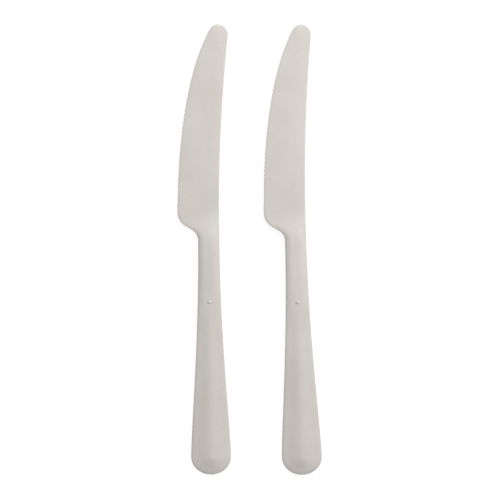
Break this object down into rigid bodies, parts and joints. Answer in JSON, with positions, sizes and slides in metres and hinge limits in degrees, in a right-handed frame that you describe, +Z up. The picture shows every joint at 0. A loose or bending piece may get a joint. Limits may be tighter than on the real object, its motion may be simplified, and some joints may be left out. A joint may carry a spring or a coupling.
{
  "type": "disposable plastic knife pack",
  "caption": "Flat-backed moulded plastic table knives with finely toothed blades and hollow-backed tapering handles, laid face up side by side.",
  "frame": {"origin": "middle of the pair's extent, on the surface the knives lie on", "axes": "+Y from the butts towards the tips, +Z up out of the knives' faces, +X from the left knife to the right one; the cutting edges are on the -X side"},
  "size_m": [0.0594, 0.1854, 0.0038],
  "materials": {
    "knife_plastic": "satin off-white moulded plastic, slightly uneven in tone"
  },
  "bodies": {
    "root": {"left_knife": "knife_plastic", "right_knife": "knife_plastic"}
  },
  "joints": []
}
